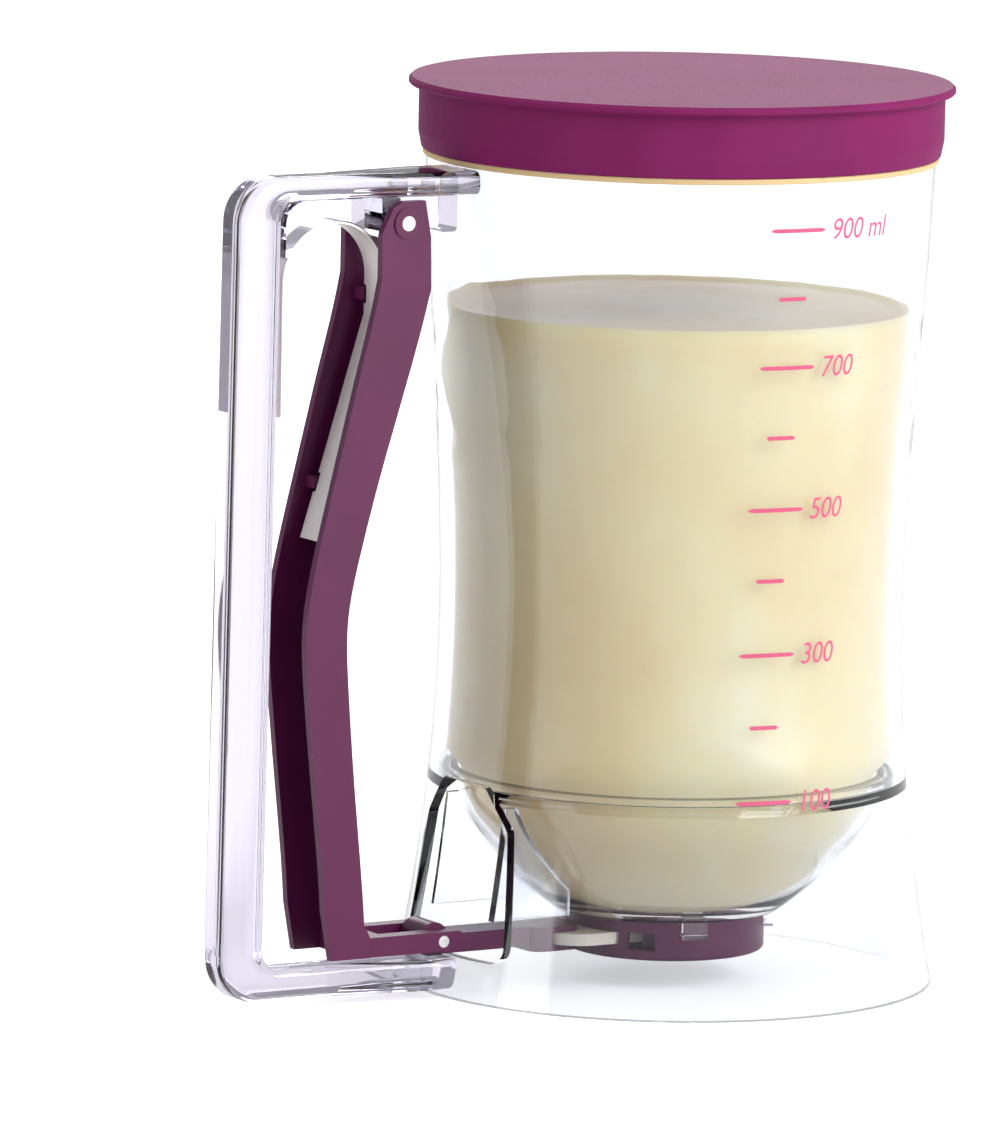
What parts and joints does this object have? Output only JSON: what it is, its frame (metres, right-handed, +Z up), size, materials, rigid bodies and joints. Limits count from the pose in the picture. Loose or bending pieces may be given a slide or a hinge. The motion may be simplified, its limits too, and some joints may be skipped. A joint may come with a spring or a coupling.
{
  "type": "batter dispenser",
  "caption": "Clear waisted jug for pancake batter with a funnel base, purple press-on lid, side handle, sprung trigger and sliding outlet gate.",
  "frame": {"origin": "under the middle of the whole object, level with the foot ring's underside; the jug's axis is at X 25.455 mm", "axes": "+Z up along the jug's axis, -X towards the handle, the printed scale faces -Y"},
  "size_m": [0.1618, 0.1108, 0.1839],
  "materials": {
    "clear_plastic": "glossy, clear",
    "purple_plastic": "moulded, satin",
    "lid_plastic": "fine satin",
    "pale_plastic": "smooth",
    "silicone": "matt, soft",
    "stainless": "rolled strip",
    "steel_pin": "ground"
  },
  "bodies": {
    "jug": {"jug_wall": "clear_plastic", "funnel_bowl": "clear_plastic", "doorway_rib_near": "clear_plastic", "doorway_rib_far": "clear_plastic", "handle_frame": "clear_plastic", "hinge_lug": "clear_plastic", "spring_saddle": "clear_plastic", "leaf_spring": "stainless", "pivot_pin": "steel_pin", "valve_housing_lower": "purple_plastic", "valve_housing_upper": "purple_plastic", "outlet_seal": "silicone", "rim_gasket": "silicone"},
    "trigger": {"trigger_lever": "purple_plastic", "link_pin": "steel_pin"},
    "slide": {"slide_arm": "purple_plastic", "slide_gate": "pale_plastic"},
    "lid": {"lid_shell": "lid_plastic"}
  },
  "joints": [
    {"name": "trigger_pivot", "type": "hinge", "parent": "jug", "child": "trigger", "pos_m": [-0.04335, 0, 0.1583], "axis": [0, 1, 0], "range_deg": [0, 6.5], "stiffness_Nm_per_rad": 4, "springref_deg": -6.88, "deforming": ["leaf_spring"]},
    {"name": "valve_slide", "type": "slide", "parent": "jug", "child": "slide", "axis": [-1, 0, 0], "range_m": [0, 0.01677]},
    {"name": "lid_lift", "type": "slide", "parent": "jug", "child": "lid", "axis": [0, 0, 1], "range_m": [0, 0.03]}
  ],
  "couplings": [
    {"joint": "valve_slide", "follows": "trigger_pivot", "m_per_rad": 0.1461}
  ]
}
